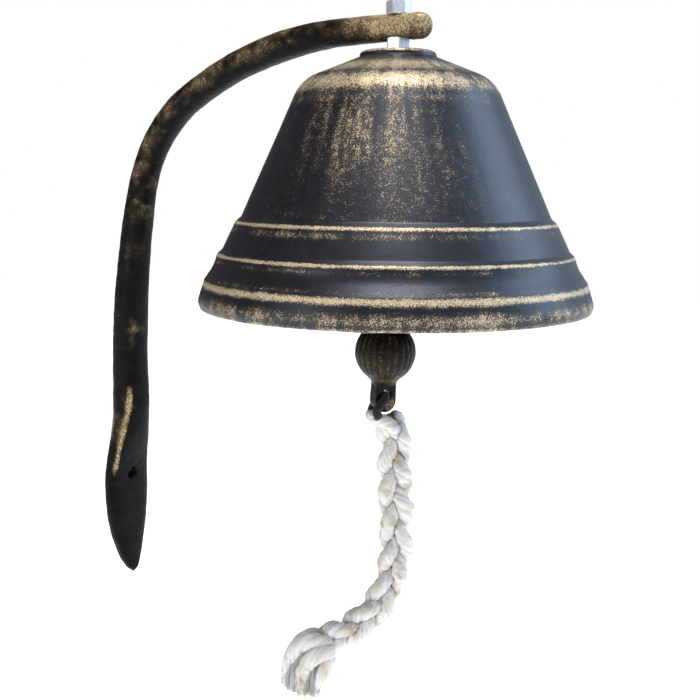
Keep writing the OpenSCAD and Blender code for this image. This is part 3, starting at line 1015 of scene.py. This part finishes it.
NUT_AF = 8.0
NUT_STEPS = 96
BOLT_STEPS = 40
WIRE_SIDES = 24
LINK_HALF_W = 4.2
LINK_BEAD = 0.14
BOLT_R = 2.45
THREAD_PITCH = 0.8
THREAD_DEPTH = 0.32
NUT_TURNS = {"top_nut": 35.5, "arm_nut": 5.5, "inner_nut": 20.0}

TOP_SEAT_Z = box_mm("top_nut")[0][2]
UNDER_SEAT_Z = box_mm("arm_nut")[1][2]


def thread_wave(z, a):
    """0 to 1 and back once in each turn of the thread, at a height and an angle."""
    return abs(((z / THREAD_PITCH - a / 2 / math.pi) % 1) * 2 - 1)


def make_nut(node):
    """A hexagon with its corners turned away at both ends and a chamfered, threaded bore."""
    low, high = box_mm(node)
    bottom, height = low[2], high[2] - low[2]
    turn = math.radians(NUT_TURNS[node])
    flat = NUT_AF / 2
    corner = flat / math.cos(math.pi / 6)
    rows = [(0, BOLT_R + 0.55), (0, flat - 0.35), (0, flat - 0.05)]
    rows += [(height * t, "side") for t in (0.03, 0.07, 0.12, 0.5, 0.88, 0.93, 0.97)]
    rows += [(height, flat - 0.05), (height, flat - 0.35), (height, BOLT_R + 0.55),
             (height - 0.5, BOLT_R + 0.05)]
    turns = int((height - 1.0) / THREAD_PITCH * 8)
    rows += [(height - 0.5 - (height - 1.0) * k / turns, "thread") for k in range(1, turns + 1)]
    points = []
    for z, radius in rows:
        for a in angles(NUT_STEPS):
            if radius == "side":
                side = flat / math.cos((a + math.pi / 6) % (math.pi / 3) - math.pi / 6)
                end = min(z, height - z)
                out = min(side, flat + 0.05 + end * 1.75, corner - 0.07)
            elif radius == "thread":
                out = BOLT_R + 0.05 + 0.25 * thread_wave(z, a)
            else:
                out = radius
            points.append(AXIS + UP * (bottom + z)
                          + out * np.array([math.cos(a + turn), math.sin(a + turn), 0]))
    made = make_object(node + "_hexagon", points, ring_faces(len(rows), NUT_STEPS, True))
    edges = made.modifiers.new("edges", "EDGE_SPLIT")
    edges.split_angle = math.radians(24)
    apply_modifiers(made)
    return settle(made, "fixture", "zinc_steel", ZINC, node)


def make_washer():
    low, high = box_mm("inner_washer")
    outer, thick = (high[0] - low[0]) / 2, high[2] - low[2]
    hole = BOLT_R + 0.2
    outline = fine(rounded([(hole, 0.5 * thick, 0), (hole, 0, 0.12), (outer, 0, 0.3),
                            (outer, thick, 0.12), (hole, thick, 0.12), (hole, 0.5 * thick, 0)],
                           4), 0.6)[:-1]
    made = lathe("inner_washer_plate", outline, AXIS + UP * low[2], 72, closed=True)
    return settle(made, "fixture", "zinc_steel", ZINC, "inner_washer")


def wire_path(centre, across, up, half_w, count, straight=0.0):
    """A round eye about centre in the plane of across and up, or a link with straight sides."""
    return np.array([centre + across * half_w * math.sin(a)
                     + up * (half_w * math.cos(a) + math.copysign(straight, math.cos(a)))
                     for a in angles(count)])


def wire_ring(name, path, square, radius, bead=0.0):
    """A closed ring of round wire, with a weld's bead of that height a quarter way round."""
    count = len(path)
    points = []
    for i, centre in enumerate(path):
        out = np.cross(unit(path[(i + 1) % count] - path[i - 1]), square)
        size = radius + bead * hump(i / count - 0.25, 0.02)
        points += ring(centre, size, square, out, WIRE_SIDES)
    return make_object(name, points, ring_faces(count, WIRE_SIDES, True))


def make_hanger_bolt():
    """A threaded shank with a bent and closed eye at its lower end."""
    low, high = box_mm("hanger_bolt")
    top = high[2]
    wire = LINK_PIN[2] - low[2]
    eye_r = (high[0] - low[0]) / 2 / SWING[0] - wire
    eye = LINK_PIN + UP * eye_r
    made = wire_ring("hanger_bolt_shank", wire_path(eye, SWING, UP, eye_r, 96), PIN,
                     wire - 0.01)
    foot = eye[2] + eye_r
    threaded = top - 0.5 - foot - 2.0
    count = int(threaded / THREAD_PITCH * 8)
    outline = [(0.4, foot - 0.8), (wire * 0.9, foot - 0.6), (BOLT_R - 0.25, foot + 1.4),
               (BOLT_R - 0.2, foot + 1.9)]
    outline += [("thread", foot + 2.0 + threaded * k / count) for k in range(count + 1)]
    outline += [(BOLT_R - 0.45, top - 0.12), (BOLT_R - 0.7, top), (0.2, top)]
    points = []
    for radius, z in outline:
        for a in angles(BOLT_STEPS):
            out = BOLT_R - THREAD_DEPTH * thread_wave(z, a) if radius == "thread" else radius
            points.append(AXIS + UP * z + out * np.array([math.cos(a), math.sin(a), 0]))
    weld(made, [make_object("shank", points, ring_faces(len(outline), BOLT_STEPS))])
    return settle(made, "fixture", "zinc_steel", ZINC, "hanger_bolt")


def make_link():
    """An oval link with a small weld on one side."""
    low, high = box_mm("clapper_link")
    wire = CLAPPER_PIN[2] - low[2]
    height = high[2] - wire - CLAPPER_PIN[2]
    path = wire_path(CLAPPER_PIN + UP * height / 2, PIN, UP, LINK_HALF_W, 96,
                     height / 2 - LINK_HALF_W)
    made = wire_ring("clapper_link_ring", path, SWING, wire - 0.01, LINK_BEAD)
    return settle(made, "link", "zinc_steel", ZINC, "clapper_link")


# ---- clapper

CLAPPER_L = 76.2
BALL_R = 11.4
FLUTES = 26
FLUTE_DEPTH = 0.5
EYE_WIRE_R = 1.75
EYE_R = 4.6
LUG_W, LUG_T, LUG_HOLE_R = 8.6, 5.2, 2.4
LUG_HOLE_UP = -CLAPPER_L - 16.4
CLAPPER_UP = UP * math.cos(HANG_LEAN) + SWING * math.sin(HANG_LEAN)
CLAPPER_SIDE = SWING * math.cos(HANG_LEAN) - UP * math.sin(HANG_LEAN)


def on_clapper(side, pin, up):
    return CLAPPER_PIN + CLAPPER_SIDE * side + PIN * pin + CLAPPER_UP * up


def fluted_ball():
    """The ball, with ribs that run from its top to its bottom."""
    points = []
    rows, steps = 60, 260
    for i in range(rows + 1):
        fall = math.pi * (0.02 + 0.96 * i / rows)
        strength = min(1.0, 1.6 * math.sin(fall)) ** 2
        for a in angles(steps):
            rib = abs(math.cos(FLUTES / 2 * a))
            out = (BALL_R - FLUTE_DEPTH * strength * (1 - rib) ** 1.3) * math.sin(fall)
            points.append(on_clapper(out * math.cos(a), out * math.sin(a),
                                     -CLAPPER_L + BALL_R * math.cos(fall)))
    return make_object("ball", points, ring_faces(rows + 1, steps))


def lug_outline():
    """The lug's rounded end, seen along the pin, as (side, up)."""
    end_up = LUG_HOLE_UP - 1.9
    top_up = -CLAPPER_L - 7.0
    half = LUG_W / 2
    spots = [(half * 1.02, top_up), (half * 0.97, (top_up + end_up) / 2)]
    spots += [(half * math.cos(a), end_up + half * math.sin(a))
              for a in np.linspace(0, -math.pi, 25)]
    return spots + [(-side, up) for side, up in spots[1::-1]]


def make_clapper():
    spots = lug_outline()
    points = [on_clapper(side, pin, up) for pin in (-LUG_T / 2, LUG_T / 2) for side, up in spots]
    lug = make_object("lug", points, ring_faces(2, len(spots)))
    eye_up = EYE_WIRE_R + 1.3 + 0.3 - EYE_R
    eye = wire_ring("eye", wire_path(on_clapper(0, 0, eye_up), CLAPPER_SIDE, CLAPPER_UP, EYE_R,
                                     72), PIN, EYE_WIRE_R)
    shank_top = eye_up - EYE_R
    shank = [(0.2, shank_top + 0.8), (2.2, shank_top + 0.6), (2.9, shank_top - 0.6),
             (3.0, shank_top - 3), (3.7, -40), (4.3, -CLAPPER_L + 12.5),
             (5.4, -CLAPPER_L + 10.0), (6.6, -CLAPPER_L + 8.0), (1.0, -CLAPPER_L)]
    neck = [(1.0, -CLAPPER_L), (8.2, -CLAPPER_L - 7.9), (6.4, -CLAPPER_L - 9.4),
            (5.0, -CLAPPER_L - 10.8), (4.2, -CLAPPER_L - 12.2), (0.5, -CLAPPER_L - 12.4)]
    made = weld(fluted_ball(), [lug, eye] + [
        lathe("turned", outline, CLAPPER_PIN, 48, CLAPPER_UP) for outline in (shank, neck)])
    made.name = "clapper_casting"
    remesh(made, 0.34, 2)
    cut(made, bore_cutter(LUG_HOLE_R, 0.5, LUG_T + 0.6, on_clapper(0, 0, LUG_HOLE_UP), PIN))
    roughen(made, [(5, 0.07), (1.8, 0.06)])
    points = coordinates(made)
    ball_gap = np.linalg.norm(points - on_clapper(0, 0, -CLAPPER_L), axis=1)
    proud = clamp((ball_gap - (BALL_R - 0.35)) / 0.35) * (ball_gap < BALL_R + 0.6)
    lug_tip = on_clapper(2.6, LUG_T / 2, LUG_HOLE_UP - 3.6)
    lug_gap = np.linalg.norm(points - lug_tip, axis=1)
    rub = 0.18 + 0.36 * proud + 0.80 * hump(lug_gap, 3.4)
    rub += 0.16 * wobble(points, 4, 9.0)
    set_attribute(made, "rub", clamp(rub))
    return settle(made, "clapper", "clapper_iron", CLAPPER_PAINT, "clapper")


make_bracket()
for nut in NUT_TURNS:
    make_nut(nut)
make_washer()
make_hanger_bolt()
make_link()
make_clapper()


# ---- floor and light

FLOOR_Z = -1.2
FLOOR_HALF = 12


def make_floor():
    corners = [(-1, -1), (1, -1), (1, 1), (-1, 1)]
    floor = make_object("floor", [(FLOOR_HALF / MM * x, FLOOR_HALF / MM * y, FLOOR_Z / MM)
                                  for x, y in corners], [(0, 1, 2, 3)])
    tree = Nodes(bpy.data.materials.new("pale_floor"))
    colour = tree.mix(tree.noise(900, 2), (0.86, 0.86, 0.86), (0.89, 0.89, 0.885))
    floor.data.materials.append(tree.finish(SHADER, {
        "Base Color": colour, "Roughness": 0.9, "Emission Color": (1, 1, 1),
        "Emission Strength": 1.1}))


def light_from(name, right, near, up, size, power, colour):
    """An area light placed by the camera's directions, in metres about the bell."""
    middle = Vector(AXIS * MM + UP * 0.1)
    data = bpy.data.lights.new(name, "AREA")
    data.shape = "RECTANGLE"
    data.size, data.size_y = size
    data.energy = power
    data.color = colour
    light = bpy.data.objects.new(name, data)
    light.location = middle + Vector(IMAGE_RIGHT * right + TO_CAMERA * near + UP * up)
    light.rotation_mode = "QUATERNION"
    light.rotation_quaternion = (middle - light.location).to_track_quat("-Z", "Y")
    bpy.context.scene.collection.objects.link(light)


def make_world():
    """A soft sky, pale on the right and dim on the left, behind a plain white studio."""
    scene = bpy.context.scene
    world = bpy.data.worlds.new("studio")
    scene.world = world
    scene.view_settings.view_transform = "Standard"
    tree = Nodes(world)
    direction = tree.add("TexCoord", "Generated", {})
    across = tree.add("VectorMath", "Value", {0: direction, 1: tuple(IMAGE_RIGHT)},
                      operation="DOT_PRODUCT")
    sky = tree.mix(tree.scaled(across, -0.6, 0.9), (0.10, 0.11, 0.13), (0.52, 0.62, 0.78))
    seen = tree.add("LightPath", "Is Camera Ray", {})
    tree.finish("Background", {"Color": tree.mix(seen, sky, (1, 1, 1))})


make_floor()
make_world()
light_from("key", 0.0, 0.45, 1.45, (0.7, 0.7), 28, (1.0, 0.97, 0.93))
light_from("right_sky", 1.5, -0.2, 0.8, (0.9, 1.2), 17, (0.62, 0.80, 1.0))
light_from("left_fill", -1.2, 0.9, 0.3, (0.5, 0.9), 6, (1.0, 0.97, 0.94))
